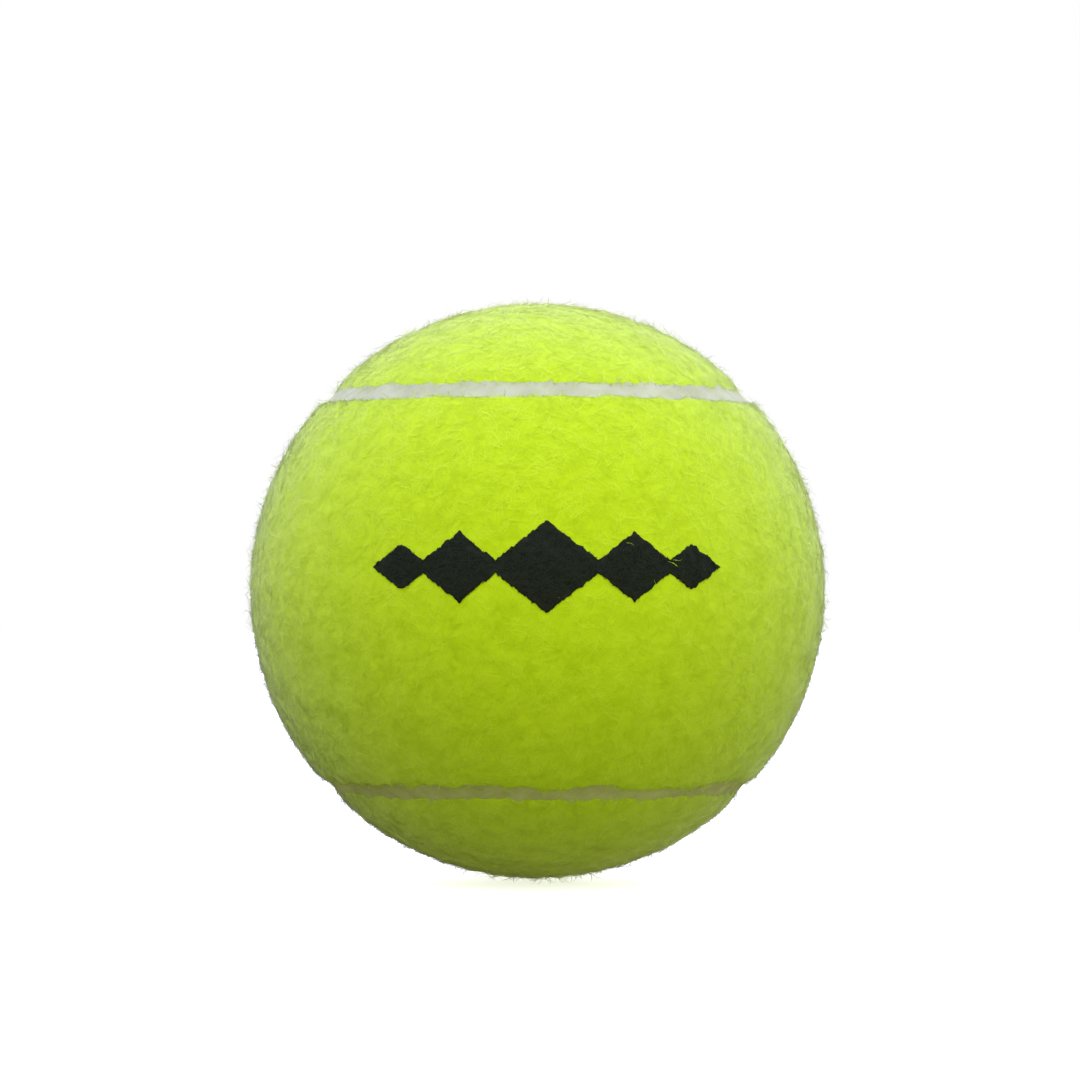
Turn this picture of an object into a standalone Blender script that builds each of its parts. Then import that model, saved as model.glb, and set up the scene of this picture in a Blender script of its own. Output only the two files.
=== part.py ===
"""A tennis ball: a hollow rubber core in two halves, two felt panels cemented round it, the rubber seam
that fills the line between them, and a plain printed mark.

The origin is the ball's centre, +Z is up and the printed mark faces -Y. Both panels have one outline: all
points within an eighth of a turn of a middle line, which is half of a great circle. The middle line of
panel A runs level round the front, from -X through -Y to +X, and that of panel B runs upright round the
back, from +Z through +Y to -Z. So the seam is four half circles of one size, joined end to end.
"""

import math

import bmesh
import bpy
from mathutils import Matrix, Quaternion, Vector

# Driving sizes, in metres.
BALL_DIAMETER = 0.0668
FELT_THICKNESS = 0.0030
PANEL_ROUNDING = 0.0020
PANEL_CEMENT_THICKNESS = 0.0003
CORE_WALL = 0.0034
CORE_CEMENT_THICKNESS = 0.0004
SEAM_WIDTH = 0.0024
SEAM_DEPTH = 0.0016  # from the crown of the felt down to the crest of the seam
SEAM_ROUNDING = 0.0004
CLEARANCE = 0.0003  # between any two pieces that touch on the real ball

MARK_LENGTH = 0.0380
MARK_HEIGHT = 0.0101
MARK_NECK = 0.0014  # height of the mark where two of its diamonds join
MARK_THICKNESS = 0.0004
MARK_RISE = 0.0026  # of the mark's middle above the ball's centre
MARK_SHIFT = 0.0010  # of the mark's middle to the right of the ball's centre
MARK_DIAMONDS = 5
MARK_TAPER = 0.25  # of the middle diamond's height, lost at each step towards the ends

# How finely the curved pieces are divided.
ARC_STEPS = 22  # along each half circle of a panel's outline
FELT_ROWS = 5  # from the middle line to the rounded edge
CEMENT_ROWS = 5
SEAM_ROWS = 2
TURN_STEPS = 32  # round the core
CORE_ARC_STEPS = 8  # from the core's rim to its pole
ROUND_STEPS = 3
BALL_STEPS = 48  # round the balls that shape the mark and its pocket
WELD = 0.00001
SHARP_ANGLE = math.radians(40)

# The layers, from the outside in.
FELT_RADIUS = BALL_DIAMETER / 2
FELT_BACK = FELT_RADIUS - FELT_THICKNESS
PANEL_CEMENT_FACE = FELT_BACK - CLEARANCE
PANEL_CEMENT_BACK = PANEL_CEMENT_FACE - PANEL_CEMENT_THICKNESS
CORE_FACE = PANEL_CEMENT_BACK - CLEARANCE
CORE_INSIDE = CORE_FACE - CORE_WALL
SEAM_CREST = FELT_RADIUS - SEAM_DEPTH
SEAM_BACK = CORE_FACE + CLEARANCE

# Angles at the ball's centre.
QUARTER_TURN = math.pi / 2
SEAM_AWAY = math.pi / 4  # of the seam's centre line from each panel's middle line
SEAM_HALF_ANGLE = SEAM_WIDTH / 2 / SEAM_CREST
PANEL_EDGE = SEAM_AWAY - SEAM_HALF_ANGLE - CLEARANCE / SEAM_BACK
RIM_ROW_ANGLE = 1.3 * PANEL_ROUNDING / FELT_RADIUS  # of the last row, which the rounding is cut from

# The half turn that lays panel A on panel B.
TO_PANEL_B = Quaternion((1, 0, 1), math.pi)


def clear_scene():
    """Remove what the startup file left."""
    for obj in list(bpy.data.objects):
        bpy.data.objects.remove(obj, do_unlink=True)


def new_collection(name):
    collection = bpy.data.collections.new(name)
    bpy.context.scene.collection.children.link(collection)
    return collection


def new_material(name, colour, roughness):
    """A Principled material that isn't metal, with an sRGB colour as its viewport colour too."""
    linear = [channel ** 2.2 for channel in colour]
    material = bpy.data.materials.new(name)
    material.use_nodes = True
    material.diffuse_color = (*linear, 1)
    shader = material.node_tree.nodes["Principled BSDF"]
    shader.inputs["Base Color"].default_value = (*linear, 1)
    shader.inputs["Roughness"].default_value = roughness
    shader.inputs["Metallic"].default_value = 0
    return material


def new_object(name, mesh, collection, material=None):
    """An object with smooth shading and sharp corners."""
    obj = bpy.data.objects.new(name, mesh)
    collection.objects.link(obj)
    if material:
        mesh.materials.append(material)
    mesh.shade_smooth()
    mesh.set_sharp_from_angle(angle=SHARP_ANGLE)
    return obj


def mesh_of(bm, name):
    mesh = bpy.data.meshes.new(name)
    bm.to_mesh(mesh)
    bm.free()
    return mesh


def outline_station(station):
    """Where the middle line stands and where its rib heads, at one of the stations round an outline.

    The stations run along the top of the middle line, round its right end, back along its underside and
    round its left end. The heading is 0 for up and turns clockwise, as seen from outside.
    """
    side, step = divmod(station, ARC_STEPS)
    turn = step / ARC_STEPS
    longitude, heading = (
        (QUARTER_TURN * (2 * turn - 1), 0),
        (QUARTER_TURN, math.pi * turn),
        (QUARTER_TURN * (1 - 2 * turn), math.pi),
        (-QUARTER_TURN, math.pi * (1 + turn)),
    )[side % 4]
    return longitude, heading


def rib_point(station, away, radius):
    """The point at an angle away from panel A's middle line, along the rib of a station."""
    longitude, heading = outline_station(station)
    foot = Vector((math.sin(longitude), -math.cos(longitude), 0))
    along = Vector((math.cos(longitude), math.sin(longitude), 0))
    rib = Vector((0, 0, 1)) * math.cos(heading) + along * math.sin(heading)
    return radius * (foot * math.cos(away) + rib * math.sin(away))


def ribbed_surface(rows, radius):
    """An open surface on a sphere, whose rows lie at the given angles away from panel A's middle line."""
    bm = bmesh.new()
    bmesh.ops.create_grid(bm, x_segments=4 * ARC_STEPS, y_segments=len(rows) - 1, size=0.5)
    for vert in bm.verts:
        station = round((vert.co.x + 0.5) * 4 * ARC_STEPS)
        row = round((vert.co.y + 0.5) * (len(rows) - 1))
        vert.co = rib_point(station, rows[row], radius)
    bmesh.ops.remove_doubles(bm, verts=bm.verts, dist=WELD)
    return bm


def thicken_inwards(bm, radius, back):
    """Close an open surface on a sphere into a solid with radial edges."""
    grown = bmesh.ops.extrude_face_region(bm, geom=bm.faces[:], use_keep_orig=True)
    inner = [item for item in grown["geom"] if isinstance(item, bmesh.types.BMVert)]
    bmesh.ops.scale(bm, vec=Vector.Fill(3, back / radius), verts=inner)
    bmesh.ops.recalc_face_normals(bm, faces=bm.faces)


def weigh_outer_edges(bm, radius):
    """Mark the sharp edges on the outer sphere, which the Bevel modifier rounds."""
    weight = bm.edges.layers.float.new("bevel_weight_edge")
    for edge in bm.edges:
        outer = all(vert.co.length > radius - WELD for vert in edge.verts)
        if outer and edge.calc_face_angle() > SHARP_ANGLE:
            edge[weight] = 1


def add_rounding(obj, width):
    bevel = obj.modifiers.new("rounding", "BEVEL")
    bevel.limit_method = "WEIGHT"
    bevel.width = width
    bevel.segments = ROUND_STEPS
    return bevel


def even_rows(start, end, count):
    return [start + (end - start) * row / count for row in range(count + 1)]


def make_felt_panels(collection, material):
    """Two panels of one shape, with their outer edges rounded."""
    rows = even_rows(0, PANEL_EDGE - RIM_ROW_ANGLE, FELT_ROWS) + [PANEL_EDGE]
    bm = ribbed_surface(rows, FELT_RADIUS)
    thicken_inwards(bm, FELT_RADIUS, FELT_BACK)
    weigh_outer_edges(bm, FELT_RADIUS)
    mesh = mesh_of(bm, "felt_panel")
    panel_a = new_object("felt_panel_a", mesh, collection, material)
    panel_b = new_object("felt_panel_b", mesh, collection)
    for panel in (panel_a, panel_b):
        add_rounding(panel, PANEL_ROUNDING)
    turn_to_b(panel_b)
    return panel_a


def turn_to_b(obj):
    obj.rotation_mode = "QUATERNION"
    obj.rotation_quaternion = TO_PANEL_B


def make_panel_cement(collection, material):
    """The thin coat of cement behind each panel."""
    bm = ribbed_surface(even_rows(0, PANEL_EDGE, CEMENT_ROWS), PANEL_CEMENT_FACE)
    thicken_inwards(bm, PANEL_CEMENT_FACE, PANEL_CEMENT_BACK)
    mesh = mesh_of(bm, "panel_cement")
    new_object("panel_cement_a", mesh, collection, material)
    turn_to_b(new_object("panel_cement_b", mesh, collection))


def make_seam(collection, material):
    """The closed strip of rubber between the panels, from the core up to its crest."""
    rows = even_rows(SEAM_AWAY - SEAM_HALF_ANGLE, SEAM_AWAY + SEAM_HALF_ANGLE, SEAM_ROWS)
    bm = ribbed_surface(rows, SEAM_CREST)
    thicken_inwards(bm, SEAM_CREST, SEAM_BACK)
    weigh_outer_edges(bm, SEAM_CREST)
    seam = new_object("seam_rubber", mesh_of(bm, "seam_rubber"), collection, material)
    add_rounding(seam, SEAM_ROUNDING)


def turned_solid(name, profile, collection, material):
    """A profile in the XZ plane, turned round Z. It runs down its outer side first."""
    bm = bmesh.new()
    verts = [bm.verts.new((x, 0, z)) for x, z in profile]
    for first, second in zip(verts, verts[1:]):
        bm.edges.new((first, second))
    obj = new_object(name, mesh_of(bm, name), collection, material)
    screw = obj.modifiers.new("turn", "SCREW")
    screw.steps = TURN_STEPS
    screw.render_steps = TURN_STEPS
    screw.use_merge_vertices = True
    screw.merge_threshold = WELD
    return obj


def rim_arc(radius, height):
    """Points on a circle of this radius, from the pole down to this height."""
    lowest = math.asin(height / radius)
    angles = even_rows(QUARTER_TURN, lowest, CORE_ARC_STEPS)
    points = [(radius * math.cos(angle), radius * math.sin(angle)) for angle in angles]
    return [(0, radius)] + points[1:]


def make_core(collection, rubber, cement):
    """Two equal cups, rim to rim, and the ring of cement that joins their rims."""
    rim_height = CORE_CEMENT_THICKNESS / 2 + CLEARANCE
    profile = rim_arc(CORE_FACE, rim_height) + rim_arc(CORE_INSIDE, rim_height)[::-1]
    turned_solid("core_shell_upper", profile, collection, rubber)
    lower = turned_solid("core_shell_lower", profile, collection, rubber)
    lower.rotation_euler.x = math.pi
    half = CORE_CEMENT_THICKNESS / 2
    ring = [(CORE_FACE, half), (CORE_FACE, -half), (CORE_INSIDE, -half), (CORE_INSIDE, half)]
    turned_solid("core_joint_cement", ring + ring[:1], collection, cement)


def diamond_chain(grow):
    """The upper edge of the mark, left to right, with each side moved outwards by grow.

    All sides have one slope, so moving them outwards lifts every peak and neck by the same height.
    """
    middle = (MARK_DIAMONDS - 1) / 2
    peaks = [MARK_HEIGHT / 2 * (1 - MARK_TAPER * abs(k - middle)) for k in range(MARK_DIAMONDS)]
    neck = MARK_NECK / 2
    slope = 2 * (sum(peaks) - (MARK_DIAMONDS - 1) * neck) / MARK_LENGTH
    lift = grow * math.hypot(1, slope)
    x = -MARK_LENGTH / 2
    points = [(x - lift / slope, 0)]
    start = 0
    for k, peak in enumerate(peaks):
        x += (peak - start) / slope
        points.append((x, peak + lift))
        start = neck if k < MARK_DIAMONDS - 1 else 0
        x += (peak - start) / slope
        points.append((x, start + lift) if start else (x + lift / slope, 0))
    return points


def mark_prism(name, grow, collection):
    """The mark's outline as a prism along Y, from the ball's centre out past its front."""
    upper = diamond_chain(grow)
    outline = upper + [(x, -z) for x, z in upper[-2:0:-1]]
    bm = bmesh.new()
    verts = [bm.verts.new((x + MARK_SHIFT, 0, z + MARK_RISE)) for x, z in outline]
    face = bm.faces.new(verts)
    grown = bmesh.ops.extrude_face_region(bm, geom=[face], use_keep_orig=True)
    front = [item for item in grown["geom"] if isinstance(item, bmesh.types.BMVert)]
    bmesh.ops.translate(bm, vec=(0, -1.2 * FELT_RADIUS, 0), verts=front)
    bmesh.ops.recalc_face_normals(bm, faces=bm.faces)
    return new_object(name, mesh_of(bm, name), collection)


def ball_cutter(name, radius, collection):
    bm = bmesh.new()
    bmesh.ops.create_uvsphere(bm, u_segments=BALL_STEPS, v_segments=BALL_STEPS // 2, radius=radius)
    bmesh.ops.rotate(bm, matrix=Matrix.Rotation(QUARTER_TURN, 3, "X"), verts=bm.verts)
    ball = new_object(name, mesh_of(bm, name), collection)
    ball.hide_render = True
    ball.display_type = "WIRE"
    return ball


def add_boolean(obj, operation, other):
    boolean = obj.modifiers.new(operation.lower(), "BOOLEAN")
    boolean.operation = operation
    boolean.solver = "EXACT"
    boolean.object = other


def make_mark(collection, cutters, material, panel):
    """A chain of diamonds as a thin layer, flush with the felt and sunk in a pocket of the front panel."""
    face_ball = ball_cutter("mark_face_ball", FELT_RADIUS, cutters)
    back_ball = ball_cutter("mark_back_ball", FELT_RADIUS - MARK_THICKNESS, cutters)
    floor_ball = ball_cutter("pocket_floor_ball", FELT_RADIUS - MARK_THICKNESS - CLEARANCE, cutters)
    mark = mark_prism("printed_mark", 0, collection)
    mark.data.materials.append(material)
    add_boolean(mark, "INTERSECT", face_ball)
    add_boolean(mark, "DIFFERENCE", back_ball)
    pocket = mark_prism("mark_pocket", CLEARANCE, cutters)
    pocket.hide_render = True
    pocket.display_type = "WIRE"
    add_boolean(pocket, "DIFFERENCE", floor_ball)
    add_boolean(panel, "DIFFERENCE", pocket)


def main():
    clear_scene()
    parts = new_collection("tennis_ball")
    cutters = new_collection("cutters")
    felt = new_material("yellow_felt", (0.73, 0.87, 0.16), 1.0)
    seam_rubber = new_material("grey_seam_rubber", (0.80, 0.81, 0.74), 0.7)
    core_rubber = new_material("dark_core_rubber", (0.17, 0.17, 0.16), 0.75)
    cement = new_material("rubber_cement", (0.72, 0.64, 0.47), 0.6)
    ink = new_material("black_ink", (0.13, 0.16, 0.14), 0.9)
    make_core(parts, core_rubber, cement)
    make_panel_cement(parts, cement)
    front_panel = make_felt_panels(parts, felt)
    make_seam(parts, seam_rubber)
    make_mark(parts, cutters, ink, front_panel)


main()
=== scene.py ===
"""A tennis ball's looks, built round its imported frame: matted yellow felt with a raised nap, the rubber
seam, a plain printed mark, the finishes of the core and cements inside, and a pale studio.

Run it as a script. Everything is in metres, with the ball's centre at the origin and +Z up. The middle line
of felt panel A is half of a great circle, level round the front from -X through -Y to +X, and panel B's is
upright round the back. Every point of the seam lies an eighth of a turn from both. A rib is the arc that
leaves a middle line at right angles, so a panel is one profile, drawn along a rib and carried once round.
"""

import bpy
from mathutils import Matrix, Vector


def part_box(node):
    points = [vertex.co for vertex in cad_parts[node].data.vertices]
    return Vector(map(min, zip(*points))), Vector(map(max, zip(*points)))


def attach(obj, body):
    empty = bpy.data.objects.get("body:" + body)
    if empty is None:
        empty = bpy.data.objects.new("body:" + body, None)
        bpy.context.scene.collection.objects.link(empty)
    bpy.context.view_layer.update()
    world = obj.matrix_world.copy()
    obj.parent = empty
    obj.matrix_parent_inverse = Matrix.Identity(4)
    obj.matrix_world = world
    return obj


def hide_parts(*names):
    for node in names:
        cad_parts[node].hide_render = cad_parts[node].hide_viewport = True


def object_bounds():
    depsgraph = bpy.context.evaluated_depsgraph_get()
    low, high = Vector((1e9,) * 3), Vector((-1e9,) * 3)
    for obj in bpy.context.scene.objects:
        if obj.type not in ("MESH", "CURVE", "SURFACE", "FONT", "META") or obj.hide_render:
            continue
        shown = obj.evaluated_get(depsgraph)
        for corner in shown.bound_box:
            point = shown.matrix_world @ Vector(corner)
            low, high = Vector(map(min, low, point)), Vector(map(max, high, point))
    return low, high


bl_info = {
    "name": "Tennis Ball Looks",
    "version": (1, 0, 0),
    "blender": (4, 5, 0),
    "location": "3D View > Sidebar > Tennis Ball",
    "description": "Builds the felt, nap, seam, mark and studio of a tennis ball round its frame",
    "category": "Object",
}

import math

import bpy
import numpy as np
from bpy.props import FloatProperty, FloatVectorProperty, IntProperty, PointerProperty
from mathutils import Vector

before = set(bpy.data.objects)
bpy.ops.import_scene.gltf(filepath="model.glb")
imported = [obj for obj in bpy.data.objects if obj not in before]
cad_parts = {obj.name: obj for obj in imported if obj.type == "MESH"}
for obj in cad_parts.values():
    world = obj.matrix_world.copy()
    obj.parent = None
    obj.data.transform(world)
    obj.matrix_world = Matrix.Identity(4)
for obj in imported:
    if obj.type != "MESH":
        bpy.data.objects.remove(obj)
CAD_LOW, CAD_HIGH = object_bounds()

MM = 0.001
TAU = 2 * math.pi
QUARTER = math.pi / 2
EIGHTH = math.pi / 4
BODY = "root"


def node_points(node):
    """Every vertex of a CAD node, as an array."""
    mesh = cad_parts[node].data
    points = np.empty(len(mesh.vertices) * 3, np.float32)
    mesh.vertices.foreach_get("co", points)
    return points.reshape(-1, 3).astype(float)


def radii(points):
    return np.linalg.norm(points, axis=-1)


def away_from_middle(points):
    """Angle from panel A's middle line: asin of the height in front, and acos of the side reach behind."""
    unit = np.clip(np.abs(points / radii(points)[..., None]), 0, 1)
    return np.where(points[..., 1] < 0, np.arcsin(unit[..., 2]), np.arccos(unit[..., 0]))


# Where the frame's solids lie.
BALL_RADIUS = (CAD_HIGH.x - CAD_LOW.x) / 2
FELT_BACK = radii(node_points("felt_panel_a")).min()
FELT_EDGE = away_from_middle(node_points("felt_panel_a")).max()
SEAM_CREST = radii(node_points("seam_rubber")).max()
SEAM_BACK = radii(node_points("seam_rubber")).min()
SEAM_HALF = (away_from_middle(node_points("seam_rubber")).max() - EIGHTH) * SEAM_CREST
MARK_LOW, MARK_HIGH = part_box("printed_mark")

# The visible rubber stands this much higher than the frame's seam, and runs on under the panels' edges.
SEAM_TOP = SEAM_CREST + 0.9 * MM
SEAM_TUCK = 0.6 * MM

# The visible seam lies this much nearer to panel A's middle line than the frame's seam does.
SEAM_SHIFT = 0.85 * MM
SEAM_LINE = EIGHTH - SEAM_SHIFT / SEAM_CREST

# How many stations go round a quarter of a panel's outline, and a quarter of the seam.
PANEL_STEPS, SEAM_STEPS = 224, 240

# Rows of a panel's profile: half its face, its shoulder, its wall, and half its back.
FACE_ROWS, SHOULDER_ROWS, WALL_ROWS, BACK_ROWS = 56, 16, 2, 7

# The seeds of the matting and nap of panel A and panel B.
FELT_SEEDS = (11, 21)

# The tones of the nap from its top down: name, lean and sheen. A strong lean keeps a tone to its patches,
# and a negative one also draws it to the seam's edge. The tones' colours differ partly at random, in
# patches,
# and partly as painted light and shade: strands that lie higher are painted paler, and those that lie lower,
# or along the seam's edge, darker. The paler strands lie higher and looser, so they have more sheen.
TONES = (("pale", 2.2, 0.7), ("light", 0.8, 0.55), ("middle", -0.8, 0.45), ("deep", -2.2, 0.3))

INK_STRANDS = 3200


def from_hex(code):
    """A colour written as sRGB hex, made linear."""
    channels = [int(code[k:k + 2], 16) / 255 for k in (1, 3, 5)]
    return tuple(c / 12.92 if c <= 0.04045 else ((c + 0.055) / 1.055) ** 2.4 for c in channels)


def size_prop(name, text, default_mm):
    return FloatProperty(name=name, description=text, default=default_mm * MM, unit="LENGTH", precision=5)


def colour_prop(name, text, code):
    return FloatVectorProperty(name=name, description=text, default=from_hex(code), subtype="COLOR")


class FeltSettings(bpy.types.PropertyGroup):
    """Sizes and colours of the felt and its nap."""

    ground_depth: size_prop("Ground depth", "How far the matted ground lies below the ball's size", 0.42)
    lump_height: size_prop("Lump height", "Usual height of the matted lumps", 0.05)
    lump_size: size_prop("Lump size", "Usual distance between the larger lumps", 2.6)
    shoulder: size_prop("Shoulder", "Width of the rounded edge along the seam", 2.8)
    edge_wave: size_prop("Edge wave", "How far the edge strays to either side of its line", 0.06)
    loose_edge: size_prop("Loose edge", "How far the edge of the underside hangs over the seam", 0.8)
    spread_edge: size_prop("Spread edge", "How far panel B is spread over the seam", 0.7)
    strand_length: size_prop("Strand length", "Usual length of a strand of the nap", 2.5)
    strand_width: size_prop("Strand width", "Thickness of a strand, a few fibres that lie together", 0.068)
    strands: IntProperty(name="Strands", description="Strands in each piece of the nap", default=10200)
    softness: FloatProperty(
        name="Softness", description="How far strands are shaded as one soft surface, from 0 to 1",
        default=0.92, max=0.98, subtype="FACTOR")
    ground_softness: FloatProperty(
        name="Ground softness", description="How far the ground is shaded as one soft surface, from 0 to 1",
        default=0.6, max=0.98, subtype="FACTOR")
    ground: colour_prop("Ground", "Shaded depth of the felt", "#C8EA0A")
    # These strand colours are partly a random mottling of the dye and partly painted light and shade: the
    # pale tips are painted paler where they stand up into the light, and the deep strands darker as shade in
    # the hollows and along the seam's edge.
    pale: colour_prop("Pale strands", "Bleached tips of the nap", "#D6F524")
    light: colour_prop("Light strands", "Most of the nap", "#CFF010")
    middle: colour_prop("Middle strands", "Strands that lie lower", "#C7E908")
    deep: colour_prop("Deep strands", "Strands in the hollows", "#C0E004")


class SeamSettings(bpy.types.PropertyGroup):
    """Finish of the seam."""

    dish: size_prop("Dish", "How far the crest sinks between its edges", 0.12)
    colour: colour_prop("Rubber", "Colour of the seam", "#C9CFAB")
    soil: colour_prop("Soiled rubber", "Its duller patches", "#B9BF98")


class MarkSettings(bpy.types.PropertyGroup):
    """The chain of diamonds printed on the front panel."""

    neck: size_prop("Neck", "Height of the mark where two diamonds join", 1.4)
    diamonds: IntProperty(name="Diamonds", description="How many there are in the chain", default=5)
    taper: FloatProperty(name="Taper", description="Share of height lost at each step", default=0.25)
    colour: colour_prop("Ink", "Colour of the print", "#1B211D")
    worn: colour_prop("Worn ink", "Ink where the nap has lifted", "#2B322A")


class StudioSettings(bpy.types.PropertyGroup):
    """Light, floor and camera."""

    camera_distance: size_prop("Camera distance", "From the ball's centre", 501)
    lens: FloatProperty(name="Lens", description="Focal length in millimetres", default=144.4)
    aim_height: size_prop("Aim height", "Above the ball's centre", 5.86)
    aim_side: size_prop("Aim side", "To the right of the ball's centre", 0.29)
    room: FloatProperty(name="Room", description="Brightness of the brightest wall", default=2.4)
    key: FloatProperty(name="Key", description="Power of the soft box in watts", default=2.3)
    fill: FloatProperty(name="Fill", description="Power of the front panel light in watts", default=2.9)


def settings(name):
    return getattr(bpy.context.scene, name)


# Surfaces

def random_waves(points, size, seed, waves=40):
    """Soft random lumps with a usual size, about 1 high: the sum of plane waves in random directions."""
    rng = np.random.default_rng(seed)
    heading = rng.normal(size=(3, waves))
    heading *= TAU / (size * np.linalg.norm(heading, axis=0) * rng.uniform(0.7, 1.4, waves))
    phase = rng.uniform(0, TAU, waves)
    return np.cos(points @ heading + phase).sum(axis=-1) * math.sqrt(2 / waves)


def matted(points, felt, seed):
    """Height of the matted felt: large lumps, and smaller ones between them."""
    large = random_waves(points, felt.lump_size, seed)
    return felt.lump_height * (large + 0.7 * random_waves(points, felt.lump_size * 0.42, seed + 1))


def outline_ribs(steps):
    """Foot and direction of the rib at each station, once round a panel.

    Longitude and heading take turns: the longitude runs along the middle line with the rib upright, then
    the heading swings half a turn about the line's end, and the same again back along the underside.
    """
    share = np.arange(steps) / steps
    still = np.ones(steps)
    longitude = QUARTER * np.concatenate([2 * share - 1, still, 1 - 2 * share, -still])
    heading = math.pi * np.concatenate([0 * share, share, still, 1 + share])
    zero = np.zeros(4 * steps)
    foot = np.stack([np.sin(longitude), -np.cos(longitude), zero], axis=1)
    along = np.stack([np.cos(longitude), np.sin(longitude), zero], axis=1)
    rib = np.cos(heading)[:, None] * (0, 0, 1) + np.sin(heading)[:, None] * along
    return foot, rib


def along_ribs(steps, away):
    """Unit vectors out through the sphere, and sideways along the ribs, for every station and angle."""
    foot, rib = outline_ribs(steps)
    cos, sin = np.atleast_3d(np.cos(away)), np.atleast_3d(np.sin(away))
    if away.ndim == 1:
        cos, sin = cos.reshape(1, -1, 1), sin.reshape(1, -1, 1)
    return foot[:, None] * cos + rib[:, None] * sin, rib[:, None] * cos - foot[:, None] * sin


def triangles_of(quads):
    """Each quad as two triangles, leaving out any that has no area because two corners are one."""
    faces = np.concatenate([quads[:, [0, 1, 2]], quads[:, [0, 2, 3]]])
    a, b, c = faces.T
    return faces[(a != b) & (b != c) & (c != a)]


def grid_quads(index):
    """Quads between neighbouring rows and columns of an array of vertex numbers."""
    corners = [index[:-1, :-1], index[1:, :-1], index[1:, 1:], index[:-1, 1:]]
    return np.stack(corners, axis=-1).reshape(-1, 4)


def new_piece(name, points, faces, material, replaces=(), soften=0):
    """A smooth mesh from arrays, which rides on the ball.

    Its shading normals turn towards the ball's own by the share to soften, except on a panel's back, which
    shades a heap of strands as one soft surface.
    """
    used, faces = np.unique(faces, return_inverse=True)
    points, faces = points[used], faces.reshape(-1, 3)
    mesh = bpy.data.meshes.new(name)
    mesh.vertices.add(len(points))
    mesh.vertices.foreach_set("co", np.asarray(points, np.float32).ravel())
    mesh.loops.add(faces.size)
    mesh.loops.foreach_set("vertex_index", faces.astype(np.int32).ravel())
    mesh.polygons.add(len(faces))
    mesh.polygons.foreach_set("loop_start", np.arange(0, faces.size, 3, dtype=np.int32))
    mesh.polygons.foreach_set("use_smooth", np.ones(len(faces), bool))
    mesh.update(calc_edges=True)
    if soften:
        normals = np.empty(points.size, np.float32)
        mesh.vertex_normals.foreach_get("vector", normals)
        normals = normals.reshape(-1, 3)
        above = radii(points)[:, None] > FELT_BACK + 0.2 * MM
        outward = points / radii(points)[:, None]
        normals = normals * (1 - soften * above) + outward * soften * above
        mesh.normals_split_custom_set_from_vertices(normals / radii(normals)[:, None])
    mesh.materials.append(material)
    piece = bpy.data.objects.new(name, mesh)
    bpy.context.scene.collection.objects.link(piece)
    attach(piece, BODY)
    if replaces:
        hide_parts(*replaces)
    return piece


def lay_on_back(points):
    """The half turn that lays panel A on panel B: X and Z change places and Y changes sign."""
    return points[..., [2, 1, 0]] * (1, -1, 1)


def felt_profile(felt):
    """The panel's profile along a rib, from the middle of its face round its edge to that of its back.

    Returns the angle away from the middle line, the radius, the tilt of the profile's own normal towards
    the seam, how much of the matting shows, and how much of the edge's wave. The shoulder is a quarter of
    an ellipse, and it ends a little below the seam's top.
    """
    crown = BALL_RADIUS - felt.ground_depth
    edge = FELT_EDGE + 0.1 * MM / BALL_RADIUS
    start = edge - felt.shoulder / BALL_RADIUS
    drop = crown - SEAM_TOP + 0.2 * MM
    turn = np.linspace(0, QUARTER, SHOULDER_ROWS + 1)[1:]
    away = np.concatenate([
        np.linspace(0, start, FACE_ROWS), start + (edge - start) * np.sin(turn),
        np.full(WALL_ROWS, edge), np.linspace(edge, 0, BACK_ROWS)])
    radius = np.concatenate([
        np.full(FACE_ROWS, crown), crown - drop * (1 - np.cos(turn)),
        np.linspace(crown - drop, FELT_BACK, WALL_ROWS + 2)[1:-1], np.full(BACK_ROWS, FELT_BACK)])
    flat = np.zeros(FACE_ROWS)
    back = np.zeros(BACK_ROWS)
    tilt = np.concatenate([flat, turn, np.full(WALL_ROWS, QUARTER), back])
    shown = np.concatenate([flat + 1, np.linspace(1, 0.3, SHOULDER_ROWS), np.full(WALL_ROWS, 0.2), back])
    waved = np.concatenate([flat, np.sin(turn), np.full(WALL_ROWS, 0.5), back])
    return away, radius, tilt, shown, waved


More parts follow.
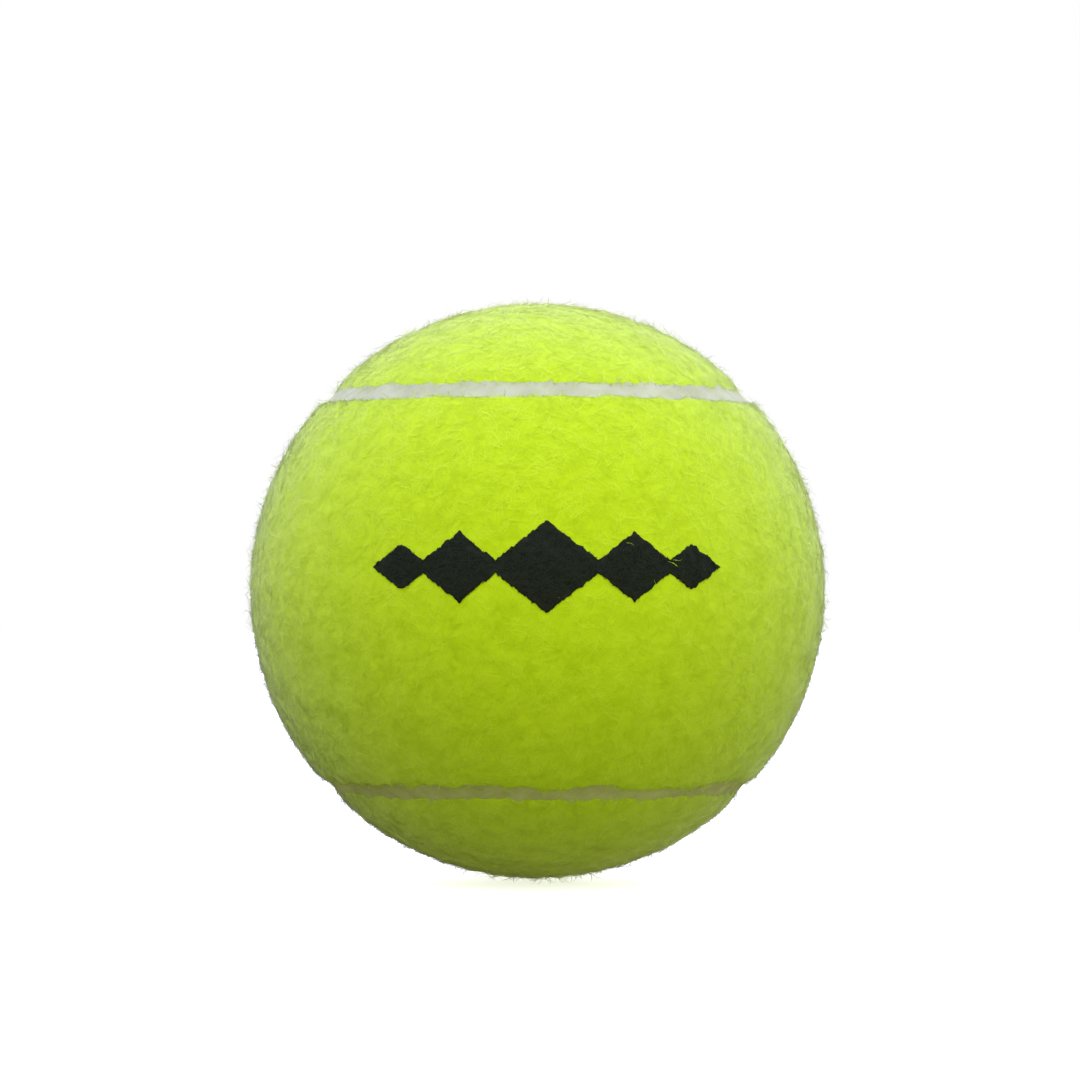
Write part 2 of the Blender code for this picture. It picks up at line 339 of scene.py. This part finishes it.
def felt_panel(felt, seed, loose_edge, spread):
    """Points and triangles of one panel: its profile carried round the ribs, and matted along its normal.

    A loose edge bulges over the seam where the panel hangs, by the square of how far the rib points down,
    and a spread one reaches over the seam all round. The profile's two end rows lie on the middle line,
    which the outline passes twice, so each point there is made once.
    """
    steps = PANEL_STEPS
    away, radius, tilt, shown, waved = felt_profile(felt)
    rim, _ = along_ribs(steps, away[-BACK_ROWS:][:1])
    stray = random_waves(rim[:, 0] * BALL_RADIUS, 5 * MM, seed + 3)
    stray += 0.5 * random_waves(rim[:, 0] * BALL_RADIUS, 2 * MM, seed + 4)
    loose = np.clip(-outline_ribs(steps)[1][:, 2], 0, 1) ** 2 * loose_edge
    reach = spread + felt.edge_wave * stray + loose * (0.55 + 0.45 * np.tanh(stray))
    away = away + reach[:, None] / BALL_RADIUS * waved
    out, side = along_ribs(steps, away)
    base = out * radius[None, :, None]
    normal = out * np.cos(tilt)[None, :, None] + side * np.sin(tilt)[None, :, None]
    height = matted(base.reshape(-1, 3), felt, seed).reshape(base.shape[:2]) * shown
    points = base + normal * height[..., None]
    station = np.arange(4 * steps)
    spine = np.clip(steps - np.abs(station - 1.5 * steps) + 0.5 * steps, 0, steps).astype(int)
    rows = len(radius)
    inner = (np.arange(4 * steps)[:, None] * (rows - 2) + np.arange(rows - 2)) + 2 * (steps + 1)
    index = np.concatenate([spine[:, None], inner, spine[:, None] + steps + 1], axis=1)
    index = np.concatenate([index, index[:1]])
    spine_points = points[:steps + 1, [0, -1]].transpose(1, 0, 2).reshape(-1, 3)
    points = np.concatenate([spine_points, points[:, 1:-1].reshape(-1, 3)])
    return points, triangles_of(grid_quads(index))


def seam_strip(seam):
    """Points and triangles of the seam: a dished strip with round corners, carried round the ribs."""
    half = SEAM_HALF + SEAM_TUCK
    corner = 0.3 * MM
    turn = np.linspace(0, QUARTER, 5)
    across = np.linspace(-1, 1, 11)[1:-1] * (half - corner)
    round_side = half - corner + corner * np.sin(turn)
    lateral = np.concatenate([-round_side[::-1], across, round_side, [half, -half]])
    dished = SEAM_TOP - seam.dish * (1 - (across / half) ** 2)
    rounded = SEAM_TOP - seam.dish * 0.2 - corner * (1 - np.cos(turn))
    radius = np.concatenate([rounded[::-1], dished, rounded, [SEAM_BACK] * 2])
    out, _ = along_ribs(SEAM_STEPS, SEAM_LINE + lateral / SEAM_CREST)
    points = out * radius[None, :, None]
    places = points.reshape(-1, 3)
    rough = random_waves(places, 1.8 * MM, 71) + 0.5 * random_waves(places, 0.6 * MM, 72)
    swell = (radius > SEAM_BACK) * rough.reshape(points.shape[:2]) * 0.035 * MM
    points *= (1 + swell / SEAM_CREST)[..., None]
    index = np.arange(points.shape[0] * points.shape[1]).reshape(points.shape[:2])
    index = np.concatenate([index, index[:1]])
    index = np.concatenate([index, index[:, :1]], axis=1)
    return points.reshape(-1, 3), triangles_of(grid_quads(index))


# The printed mark

def mark_shape(mark):
    """Middle, slope of the sides, half length, and the diamonds' places and half heights."""
    middle = (MARK_LOW + MARK_HIGH) / 2
    half_length = (MARK_HIGH.x - MARK_LOW.x) / 2
    order = np.arange(mark.diamonds) - (mark.diamonds - 1) / 2
    peaks = (MARK_HIGH.z - MARK_LOW.z) / 2 * (1 - mark.taper * np.abs(order))
    neck = mark.neck / 2
    slope = (peaks.sum() - (mark.diamonds - 1) * neck) / half_length
    spacing = (peaks[1:] + peaks[:-1] - 2 * neck) / slope
    places = np.concatenate([[0], np.cumsum(spacing)]) + peaks[0] / slope - half_length
    return middle, slope, half_length, places, peaks


def mark_half_height(x, mark):
    """Half height of the chain at a distance right of its middle: the tallest of the diamonds there."""
    _, slope, _, places, peaks = mark_shape(mark)
    return (peaks - slope * np.abs(np.asarray(x)[..., None] - places)).max(axis=-1)


def depth_in_mark(points, mark):
    """How far a point lies inside the mark's outline, and less than 0 outside it."""
    middle, slope, _, _, _ = mark_shape(mark)
    inside = mark_half_height(points[..., 0] - middle.x, mark) - np.abs(points[..., 2] - middle.z)
    return np.where(points[..., 1] < 0, inside / math.hypot(1, slope), -BALL_RADIUS)


def ink_layer(felt, mark):
    """Points and triangles of the ink: a thin loop round each column of the mark, from left tip to right.

    The front follows the felt's lumps a little above them, and the back lies under them. The outline is a
    little ragged, as ink creeps along the fibres.
    """
    middle, _, half_length, _, _ = mark_shape(mark)
    columns, rows = 420, 26
    x = np.linspace(-1, 1, columns) * half_length
    share = np.linspace(-1, 1, rows)
    half = np.maximum(mark_half_height(x, mark), 0)[:, None]
    edge = np.stack([x, np.zeros(columns), half[:, 0]], axis=1)
    ragged = 0.05 * MM * (random_waves(edge, 1.5 * MM, 81) + random_waves(edge, 0.5 * MM, 82))
    half = half + ragged[:, None] * (half > 0.3 * MM)
    front_z = share * half
    loop_z = np.concatenate([front_z, front_z[:, ::-1]], axis=1)
    behind = np.concatenate([np.zeros(rows), np.ones(rows)])
    lateral = middle.x + np.repeat(x[:, None], 2 * rows, axis=1)
    upright = middle.z + loop_z
    crown = BALL_RADIUS - felt.ground_depth
    reach = np.sqrt(crown ** 2 - lateral ** 2 - upright ** 2)
    points = np.stack([lateral, -reach, upright], axis=-1)
    lift = matted(points.reshape(-1, 3), felt, FELT_SEEDS[0]).reshape(points.shape[:2])
    lift += np.where(behind, -0.15 * MM, 0.1 * MM)
    points *= (1 + lift / crown)[..., None]
    index = np.arange(columns * 2 * rows).reshape(columns, -1)
    index[[0, -1]] = index[[0, -1], :1]
    index = np.concatenate([index, index[:, :1]], axis=1)
    return points.reshape(-1, 3), triangles_of(grid_quads(index))


# The nap

def scatter(points, faces, count, rng):
    """Random places on a mesh's triangles, even by area, with the triangles' normals."""
    a, b, c = (points[faces[:, k]] for k in range(3))
    normal = np.cross(b - a, c - a)
    area = np.linalg.norm(normal, axis=1)
    pick = np.searchsorted(np.cumsum(area) / area.sum(), rng.random(count)).clip(0, len(faces) - 1)
    u, v = rng.random((2, count, 1))
    over = u + v > 1
    u, v = np.where(over, 1 - u, u), np.where(over, 1 - v, v)
    place = a[pick] + u * (b - a)[pick] + v * (c - a)[pick]
    return place, normal[pick] / area[pick][:, None]


def in_patches_and_seam_shade(place, normal, lean, seed, rng):
    """Half of the places. A positive lean keeps off the rim and picks where a slow pattern is high. A
    negative lean gathers at the rim, so the deep tone darkens the felt along the seam's edge: painted shade.
    """
    # The rim term puts the darker tones along the seam's edge as painted shade, and keeps the pale ones away
    # from it.
    rim = np.exp(-np.abs(away_from_middle(place) - SEAM_LINE) * BALL_RADIUS / (1.2 * MM))
    clouds = random_waves(place, 3.6 * MM, seed) + 0.8 * random_waves(place, 1.5 * MM, seed + 1)
    liking = lean * (clouds - 3 * rim) + rng.normal(0, 1, len(place))
    chosen = np.argsort(liking)[len(place) // 2:]
    return place[chosen], normal[chosen]


def outer_skin(points, faces, floor):
    """The triangles of a panel above a radius, which leaves out its back and the foot of its wall."""
    return faces[radii(points[faces[:, 0]]) > floor]


def strand_paths(place, normal, length, lift, curl, free, rng, knots=5):
    """Paths of strands that lie on the felt, as knots in a row.

    Each runs both ways from its place. Its heading follows a slow swirl of the nap, with some disorder, and
    turns evenly along the strand. Its height over the felt is an arch, with both ends tucked in, and with a
    free end lifted as the square of the way along.
    """
    swirl = np.stack([random_waves(place, 9 * MM, seed, 12) for seed in (91, 92, 93)], axis=1)
    flat = swirl - normal * (swirl * normal).sum(axis=1, keepdims=True)
    flat /= np.linalg.norm(flat, axis=1, keepdims=True)
    cross = np.cross(normal, flat)
    start = rng.normal(0, 1.0, len(place))
    along = np.linspace(-0.5, 0.5, 4 * (knots - 1) + 1)
    heading = start[:, None] + curl[:, None] * along
    step = length[:, None] / (len(along) - 1)
    forward = np.cumsum(np.cos(heading) * step, axis=1)
    sideways = np.cumsum(np.sin(heading) * step, axis=1)
    centre = len(along) // 2
    forward = (forward - forward[:, centre:centre + 1])[:, ::4]
    sideways = (sideways - sideways[:, centre:centre + 1])[:, ::4]
    arch = 1 - (2 * along[::4]) ** 2
    tuck = -0.12 * MM
    height = tuck + (lift[:, None] - tuck) * arch - (forward ** 2 + sideways ** 2) / (2 * BALL_RADIUS)
    height += free[:, None] * (along[::4] + 0.5) ** 2
    return (place[:, None] + forward[..., None] * flat[:, None] + sideways[..., None] * cross[:, None]
            + height[..., None] * normal[:, None])


def strand_tubes(paths, normal, width):
    """Points and triangles of flattened three-sided tubes, pointed at both ends, flattest side out."""
    count, knots, _ = paths.shape
    ahead = paths[:, 2:] - paths[:, :-2]
    side = np.cross(ahead, normal[:, None])
    side /= np.linalg.norm(side, axis=2, keepdims=True)
    up = np.cross(side, ahead)
    up /= np.linalg.norm(up, axis=2, keepdims=True)
    turn = TAU * np.arange(3) / 3 - QUARTER
    ring = side[:, :, None] * np.cos(turn)[:, None] + 0.4 * up[:, :, None] * np.sin(turn)[:, None]
    taper = 1 - 0.35 * np.abs(np.linspace(-1, 1, knots))[1:-1]
    rings = paths[:, 1:-1, None] + ring * (width[:, None] * taper)[..., None, None] / 2
    points = np.concatenate([paths[:, :1], rings.reshape(count, -1, 3), paths[:, -1:]], axis=1)
    number = 1 + np.arange(3 * (knots - 2)).reshape(-1, 3)
    number = np.concatenate([number, number[:, :1]], axis=1)
    last = 3 * (knots - 2) + 1
    first_cap = np.stack([np.zeros(3, int), number[0, :-1], number[0, 1:]], axis=1)
    last_cap = np.stack([np.full(3, last), number[-1, 1:], number[-1, :-1]], axis=1)
    one = np.concatenate([first_cap, triangles_of(grid_quads(number)), last_cap])
    faces = (np.arange(count)[:, None, None] * (last + 1) + one).reshape(-1, 3)
    return points.reshape(-1, 3), faces


# Finishes

def add_node(tree, kind, inputs=None, **options):
    """A node of this kind. Its inputs go by name or number: a socket is linked, and a value is set."""
    node = tree.nodes.new(kind)
    for option, value in options.items():
        setattr(node, option, value)
    for key, value in (inputs or {}).items():
        if isinstance(value, bpy.types.NodeSocket):
            tree.links.new(value, node.inputs[key])
        else:
            node.inputs[key].default_value = value
    return node


def start_finish(name, roughness):
    """A material with one Principled shader, and the object coordinates for its patterns."""
    material = bpy.data.materials.new(name)
    material.use_nodes = True
    tree = material.node_tree
    shader = tree.nodes["Principled BSDF"]
    shader.inputs["Roughness"].default_value = roughness
    return material, tree, shader, add_node(tree, "ShaderNodeTexCoord").outputs["Object"]


def noise(tree, place, grain, detail=3.0):
    """A noise pattern whose patches are about one grain across, in metres."""
    inputs = {"Vector": place, "Scale": 1 / grain, "Detail": detail}
    return add_node(tree, "ShaderNodeTexNoise", inputs).outputs["Fac"]


def two_tone(tree, fac, low, high, dark, pale):
    """A ramp from one colour to another as the pattern goes from low to high."""
    ramp = add_node(tree, "ShaderNodeValToRGB", {"Fac": fac})
    first, last = ramp.color_ramp.elements
    first.position, last.position = low, high
    first.color, last.color = (*dark, 1), (*pale, 1)
    return ramp.outputs["Color"]


def rough_up(tree, shader, fac, height, strength=1.0):
    bump = add_node(tree, "ShaderNodeBump", {"Height": fac, "Distance": height, "Strength": strength})
    tree.links.new(bump.outputs["Normal"], shader.inputs["Normal"])


def felt_sheen(shader, weight):
    """Loose fibre ends catch light at a glancing angle. Light that goes in and out of a fibre takes up its
    dye, so the gloss is green-yellow face on, and pale only at a glancing angle."""
    shader.inputs["Sheen Weight"].default_value = weight
    shader.inputs["Sheen Roughness"].default_value = 0.5
    shader.inputs["Sheen Tint"].default_value = (*from_hex("#FAFFF4"), 1)
    shader.inputs["Specular IOR Level"].default_value = 0.5
    shader.inputs["Specular Tint"].default_value = (*from_hex("#E4FF70"), 1)
    shader.inputs["IOR"].default_value = 1.54


def felt_ground_finish(felt):
    """Dyed wool and nylon felt, woven, napped and matted: a cloudy depth under the strands.

    The clouds are 2.4 mm across, the size of the tufts that the brush raises. The grain of 0.25 mm stands
    for crossed fibres, and is coarser than they are.
    """
    material, tree, shader, place = start_finish("dyed_wool_felt", 1.0)
    clouds = noise(tree, place, 2.4 * MM)
    cloudy = two_tone(tree, clouds, 0.35, 0.65, felt.middle, felt.ground)
    tree.links.new(cloudy, shader.inputs["Base Color"])
    rough_up(tree, shader, noise(tree, place, 0.25 * MM, 2.0), 0.06 * MM, 0.35)
    felt_sheen(shader, 0.45)
    return material


def strand_finish(name, colour, sheen):
    """Dyed wool strands of one dye lot, with the crimp of the wool as a fine waviness of the light.

    A strand is 0.07 mm thick, two or three times a real fibre, and stands for a few that lie together. So
    the crimp is coarser too, at 0.15 mm.
    """
    material, tree, shader, place = start_finish(name, 0.55)
    shader.inputs["Base Color"].default_value = (*colour, 1)
    rough_up(tree, shader, noise(tree, place, 0.15 * MM, 1.0), 0.02 * MM, 0.25)
    felt_sheen(shader, sheen)
    return material


def seam_finish(seam):
    """Vulcanised white rubber, moulded against the felt: dull, with a grainy skin of 0.3 mm.

    It is soiled in patches about 3 mm across, so it is never one flat white.
    """
    material, tree, shader, place = start_finish("moulded_seam_rubber", 0.75)
    patches = noise(tree, place, 3.0 * MM)
    tree.links.new(two_tone(tree, patches, 0.35, 0.7, seam.soil, seam.colour), shader.inputs["Base Color"])
    rough_up(tree, shader, noise(tree, place, 0.3 * MM), 0.03 * MM, 0.6)
    shader.inputs["Specular IOR Level"].default_value = 0.3
    return material


def ink_finish(mark):
    """Black pigment ink pressed into felt: dull, a little greener and paler where the nap has lifted.

    The lifted spots are about 0.9 mm across, and the grain of the printed felt is 0.2 mm.
    """
    material, tree, shader, place = start_finish("pigment_ink_on_felt", 0.9)
    lifted = noise(tree, place, 0.9 * MM)
    tree.links.new(two_tone(tree, lifted, 0.4, 0.75, mark.colour, mark.worn), shader.inputs["Base Color"])
    rough_up(tree, shader, noise(tree, place, 0.2 * MM), 0.05 * MM, 0.8)
    shader.inputs["Specular IOR Level"].default_value = 0.15
    return material


def inked_strand_finish(mark):
    """Wool strands stained through by the ink, so they are as dark as it is and break up its flatness."""
    material, tree, shader, place = start_finish("inked_wool_strands", 0.9)
    shader.inputs["Base Color"].default_value = (*mark.worn, 1)
    rough_up(tree, shader, noise(tree, place, 0.15 * MM, 1.0), 0.02 * MM, 0.6)
    shader.inputs["Specular IOR Level"].default_value = 0.15
    return material


def core_finish():
    """Filled natural rubber, moulded and buffed: near black, with a fine buffed grain."""
    material, tree, shader, place = start_finish("buffed_core_rubber", 0.7)
    grain = noise(tree, place, 1.2 * MM)
    tree.links.new(two_tone(tree, grain, 0.3, 0.7, from_hex("#24241F"), from_hex("#33322C")),
                   shader.inputs["Base Color"])
    rough_up(tree, shader, noise(tree, place, 0.25 * MM), 0.04 * MM, 0.7)
    return material


def cement_finish():
    """Rubber cement, brushed on and dried: honey-coloured, with streaks a millimetre or so wide."""
    material, tree, shader, place = start_finish("brushed_rubber_cement", 0.5)
    brushed = add_node(tree, "ShaderNodeMapping", {"Vector": place, "Scale": (1, 1, 4)})
    streaks = noise(tree, brushed.outputs[0], 4 * MM)
    tree.links.new(two_tone(tree, streaks, 0.3, 0.7, from_hex("#B79A63"), from_hex("#D2BC8C")),
                   shader.inputs["Base Color"])
    rough_up(tree, shader, streaks, 0.05 * MM, 0.5)
    return material


# Operators

class BALL_OT_inside(bpy.types.Operator):
    """Give the core and the cements their finishes"""

    bl_idname = "ball.inside"
    bl_label = "Core and Cements"

    def execute(self, context):
        core, cement = core_finish(), cement_finish()
        finishes = {"core_shell_lower": core, "core_shell_upper": core, "core_joint_cement": cement,
                    "panel_cement_a": cement, "panel_cement_b": cement}
        for name, material in finishes.items():
            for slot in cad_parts[name].material_slots:
                slot.material = material
        return {"FINISHED"}


class BALL_OT_felt(bpy.types.Operator):
    """Build the matted ground of both felt panels, and the nap that lies on them"""

    bl_idname = "ball.felt"
    bl_label = "Felt Panels and Nap"

    def execute(self, context):
        felt, mark = settings("ball_felt"), settings("ball_mark")
        ground = felt_ground_finish(felt)
        tones = [(name, lean, strand_finish(f"wool_strands_{name}", getattr(felt, name), sheen))
                 for name, lean, sheen in TONES]
        # A panel covers half of the ball, and is a quarter of a great circle wide and three quarters long.
        for letter, seed, turned in (("a", FELT_SEEDS[0], False), ("b", FELT_SEEDS[1], True)):
            loose = 0 if turned else felt.loose_edge
            spread = felt.spread_edge + SEAM_SHIFT if turned else -SEAM_SHIFT
            points, faces = felt_panel(felt, seed, loose, spread)
            if turned:
                points = lay_on_back(points)
            panel = new_piece(f"felt_ground_{letter}", points, faces, ground,
                              [f"felt_panel_{letter}"], soften=felt.ground_softness)
            skin = outer_skin(points, faces, SEAM_TOP - 0.3 * MM)
            for k, (tone, lean, material) in enumerate(tones):
                rng = np.random.default_rng(seed + 100 + k)
                place, normal = scatter(points, skin, 2 * felt.strands, rng)
                place, normal = in_patches_and_seam_shade(place, normal, lean, seed + 50, rng)
                self.nap(f"nap_{letter}_{tone}", place, normal, k, felt, mark, material, rng)
        return {"FINISHED"}

    def nap(self, name, place, normal, depth, felt, mark, material, rng):
        """One tone of a panel's nap. The paler tones lie higher.

        A strand near the mark's edge is cut short so that it hardly crosses it, and a few of the lower tones
        stray over the ink. Away from the mark, some strands lift a free end by up to 1.1 mm.
        """
        count = len(place)
        inside = depth_in_mark(place, mark)
        keep = (inside < 0) | (rng.random(count) < 0.003 * depth)
        length = felt.strand_length * rng.lognormal(0, 0.3, count).clip(0.4, 1.8)
        near = 2 * (np.abs(inside) + 0.12 * MM)
        length = np.where(inside < 0, np.minimum(length, near.clip(0.5 * MM)), length)
        lift = MM * (0.06 - 0.01 * depth + 0.03 * rng.exponential(1, count).clip(0, 4))
        curl = rng.normal(0, 1.6, count)
        free = MM * np.where(inside < -0.5 * MM, 0.1 * rng.exponential(1, count) ** 2, 0).clip(0, 1.1)
        width = felt.strand_width * rng.uniform(0.7, 1.25, count)
        paths = strand_paths(place, normal, length, lift, curl, free, rng)
        points, faces = strand_tubes(paths[keep], normal[keep], width[keep])
        piece = new_piece(name, points, faces, material, soften=felt.softness)
        # A real fibre is fine enough for light to pass round it, so these coarser ones throw no shadow.
        piece.visible_shadow = False
        return piece


class BALL_OT_seam(bpy.types.Operator):
    """Build the rubber seam between the panels"""

    bl_idname = "ball.seam"
    bl_label = "Seam"

    def execute(self, context):
        seam = settings("ball_seam")
        points, faces = seam_strip(seam)
        new_piece("seam_strip", points, faces, seam_finish(seam), ["seam_rubber"])
        return {"FINISHED"}


class BALL_OT_mark(bpy.types.Operator):
    """Print the chain of diamonds on the front panel, with its stained strands"""

    bl_idname = "ball.mark"
    bl_label = "Printed Mark"

    def execute(self, context):
        felt, mark = settings("ball_felt"), settings("ball_mark")
        points, faces = ink_layer(felt, mark)
        new_piece("ink_layer", points, faces, ink_finish(mark), ["printed_mark"])
        rng = np.random.default_rng(300)
        front = faces[radii(points[faces]).mean(axis=1) > BALL_RADIUS - felt.ground_depth - 0.3 * MM]
        place, normal = scatter(points, front, INK_STRANDS, rng)
        outward = (normal * place).sum(axis=1) > 0.5 * radii(place)
        place, normal = place[outward], normal[outward]
        count = len(place)
        near = 2 * (depth_in_mark(place, mark) + 0.2 * MM)
        length = np.minimum(felt.strand_length * rng.lognormal(0, 0.3, count), near.clip(0.4 * MM))
        lift = MM * (0.06 + 0.07 * rng.exponential(1, count).clip(0, 3))
        paths = strand_paths(place, normal, length, lift, rng.normal(0, 1.6, count), 0 * length, rng)
        width = felt.strand_width * rng.uniform(0.7, 1.2, count)
        points, faces = strand_tubes(paths, normal, width)
        new_piece("inked_nap", points, faces, inked_strand_finish(mark), soften=felt.softness)
        return {"FINISHED"}


class BALL_OT_studio(bpy.types.Operator):
    """Set the pale floor, the soft light and the camera"""

    bl_idname = "ball.studio"
    bl_label = "Studio"

    def execute(self, context):
        studio = settings("ball_studio")
        self.floor()
        self.light(studio)
        self.camera(studio)
        context.scene.view_settings.view_transform = "Standard"
        return {"FINISHED"}

    def floor(self):
        """A wide matt white floor, lit a little from within. It takes a weak shadow and colours nothing."""
        material, tree, shader, place = start_finish("matt_white_paper", 0.9)
        fibres = noise(tree, place, 4 * MM)
        paper = two_tone(tree, fibres, 0.3, 0.7, from_hex("#F8F8F8"), from_hex("#FCFCFC"))
        tree.links.new(paper, shader.inputs["Base Color"])
        shader.inputs["Emission Color"].default_value = (1, 1, 1, 1)
        shader.inputs["Emission Strength"].default_value = 0.7
        reach = 3
        corners = np.array([(-1, -1), (1, -1), (1, 1), (-1, 1)]) * reach
        mesh = bpy.data.meshes.new("paper_floor")
        mesh.from_pydata([(x, y, CAD_LOW.z - 0.3 * MM) for x, y in corners], [], [(0, 1, 2, 3)])
        mesh.materials.append(material)
        floor = bpy.data.objects.new("paper_floor", mesh)
        bpy.context.scene.collection.objects.link(floor)
        floor.visible_diffuse = False
        floor.visible_glossy = False
        floor.visible_shadow = False

    def light(self, studio):
        """A white room with a bright wall low behind the ball, a soft box over it and a panel at eye level.

        The light from above is a little cool, and what comes from the side or below is warm. The camera
        sees plain white.
        """
        world = bpy.data.worlds.new("studio_room")
        world.use_nodes = True
        bpy.context.scene.world = world
        tree = world.node_tree
        tree.nodes.clear()
        way = add_node(tree, "ShaderNodeTexCoord").outputs["Generated"]
        axes = add_node(tree, "ShaderNodeSeparateXYZ", {0: way}).outputs
        front = self.by_height(tree, axes["Z"], {-0.5: 0.08, -0.1: 0.08, 0.2: 0.26, 0.6: 0.2, 1.0: 0.63})
        back = self.by_height(tree, axes["Z"], {-0.5: 0.08, -0.1: 0.08, 0.2: 1.0, 0.6: 0.5, 1.0: 0.63})
        behind = self.remap(tree, axes["Y"], -1.0, 1.0, 0.0, 1.0)
        level = add_node(tree, "ShaderNodeMix", {"Factor": behind, "A": front, "B": back}).outputs["Result"]
        cool = self.remap(tree, axes["Z"], 0.0, 0.6, 0.2, 1.7)
        tint = add_node(tree, "ShaderNodeCombineColor", {"Red": 1.0, "Green": 1.0, "Blue": cool}).outputs[0]
        power = add_node(tree, "ShaderNodeMath", {0: level, 1: studio.room}, operation="MULTIPLY")
        room = add_node(tree, "ShaderNodeBackground", {"Color": tint, "Strength": power.outputs[0]})
        white = add_node(tree, "ShaderNodeBackground", {"Color": (1, 1, 1, 1), "Strength": 1.0})
        seen = add_node(tree, "ShaderNodeLightPath").outputs["Is Camera Ray"]
        both = add_node(tree, "ShaderNodeMixShader", {0: seen, 1: room.outputs[0], 2: white.outputs[0]})
        add_node(tree, "ShaderNodeOutputWorld", {"Surface": both.outputs[0]})
        self.soft_box("soft_box", studio.key, 0.7, (-0.2, -0.6, 0.9), "#FFFFFF")
        self.soft_box("front_panel", studio.fill, 0.5, (0.45, -1.0, 0.1), "#FFFFB4")

    def remap(self, tree, value, low, high, least, most):
        """From least to most as the value goes from low to high, and level past both ends."""
        inputs = {"Value": value, "From Min": low, "From Max": high, "To Min": least, "To Max": most}
        return add_node(tree, "ShaderNodeMapRange", inputs).outputs["Result"]

    def by_height(self, tree, height, levels):
        """Brightness by height: straight lines between the levels given."""
        ramp = add_node(tree, "ShaderNodeValToRGB", {"Fac": self.remap(tree, height, -1.0, 1.0, 0.0, 1.0)})
        steps = ramp.color_ramp.elements
        steps.remove(steps[0])
        for at, level in levels.items():
            step = steps[-1] if at == 1 else steps.new((at + 1) / 2)
            step.color = (level, level, level, 1)
        return ramp.outputs["Color"]

    def soft_box(self, name, power, size, place, colour):
        data = bpy.data.lights.new(name, "AREA")
        data.energy = power
        data.size = size
        data.color = from_hex(colour)
        lamp = bpy.data.objects.new(name, data)
        bpy.context.scene.collection.objects.link(lamp)
        lamp.location = place
        lamp.rotation_euler = (-Vector(place)).to_track_quat("-Z", "Y").to_euler()

    def camera(self, studio):
        data = bpy.data.cameras.new("front_camera")
        data.lens = studio.lens
        data.clip_start = 0.01
        data.clip_end = 50
        camera = bpy.data.objects.new("front_camera", data)
        bpy.context.scene.collection.objects.link(camera)
        camera.location = (0, -studio.camera_distance, 0)
        aim = Vector((studio.aim_side, 0, studio.aim_height))
        camera.rotation_euler = (aim - camera.location).to_track_quat("-Z", "Y").to_euler()
        bpy.context.scene.camera = camera


class BALL_PT_panel(bpy.types.Panel):
    """Lists the steps and their settings"""

    bl_idname = "BALL_PT_panel"
    bl_label = "Tennis Ball"
    bl_space_type = "VIEW_3D"
    bl_region_type = "UI"
    bl_category = "Tennis Ball"

    def draw(self, context):
        for step in STEPS:
            self.layout.operator(step.bl_idname)
        for name in GROUPS:
            box = self.layout.box()
            group = getattr(context.scene, name)
            for prop in group.bl_rna.properties:
                if not prop.is_readonly:
                    box.prop(group, prop.identifier)


STEPS = (BALL_OT_inside, BALL_OT_felt, BALL_OT_seam, BALL_OT_mark, BALL_OT_studio)
GROUPS = {"ball_felt": FeltSettings, "ball_seam": SeamSettings, "ball_mark": MarkSettings,
          "ball_studio": StudioSettings}


def register():
    for group in (*GROUPS.values(), *STEPS, BALL_PT_panel):
        bpy.utils.register_class(group)
    for name, group in GROUPS.items():
        setattr(bpy.types.Scene, name, PointerProperty(type=group))


def unregister():
    for name in GROUPS:
        delattr(bpy.types.Scene, name)
    for group in reversed((*GROUPS.values(), *STEPS, BALL_PT_panel)):
        bpy.utils.unregister_class(group)


def main():
    register()
    for step in STEPS:
        getattr(bpy.ops.ball, step.bl_idname.split(".")[1])()


if __name__ == "__main__":
    main()
